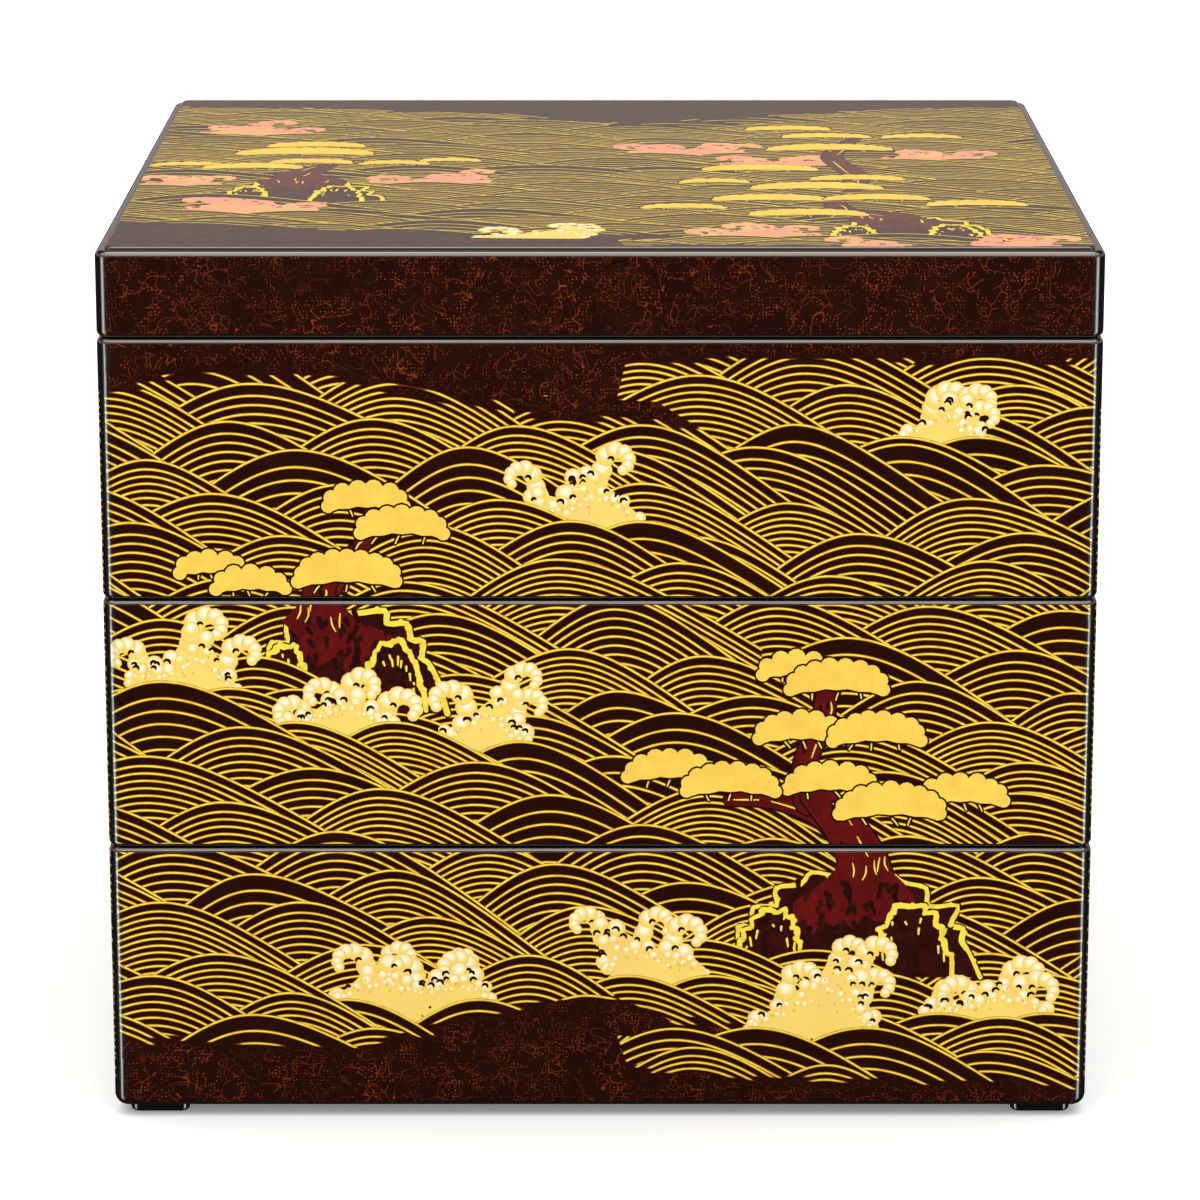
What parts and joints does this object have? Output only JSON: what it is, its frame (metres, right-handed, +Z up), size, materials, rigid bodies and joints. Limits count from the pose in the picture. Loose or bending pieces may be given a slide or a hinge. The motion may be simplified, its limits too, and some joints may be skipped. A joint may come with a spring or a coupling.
{
  "type": "tiered lacquer box",
  "caption": "Square lacquer food box of stacked open tiers with a lift-off lid, low corner feet and gold wave decoration on dark brown.",
  "frame": {"origin": "on the ground under the middle of the box, at the bottom centre of its bounding box", "axes": "+Z up; the front, which the picture shows, faces -Y; +X to the right of someone facing the front"},
  "size_m": [0.197, 0.197, 0.1786],
  "materials": {
    "tier_lacquer": "glossy dark brown lacquer on wood, with flat gold waves, pines, rocks and foam; black edges and insides",
    "lid_lacquer": "glossy dark brown lacquer on wood with a fine rust-red fleck; gold waves and pines on the top panel, black edges and inside"
  },
  "bodies": {
    "root": {"bottom_tier": "tier_lacquer", "middle_tier": "tier_lacquer", "top_tier": "tier_lacquer", "lid": "lid_lacquer"}
  },
  "joints": []
}
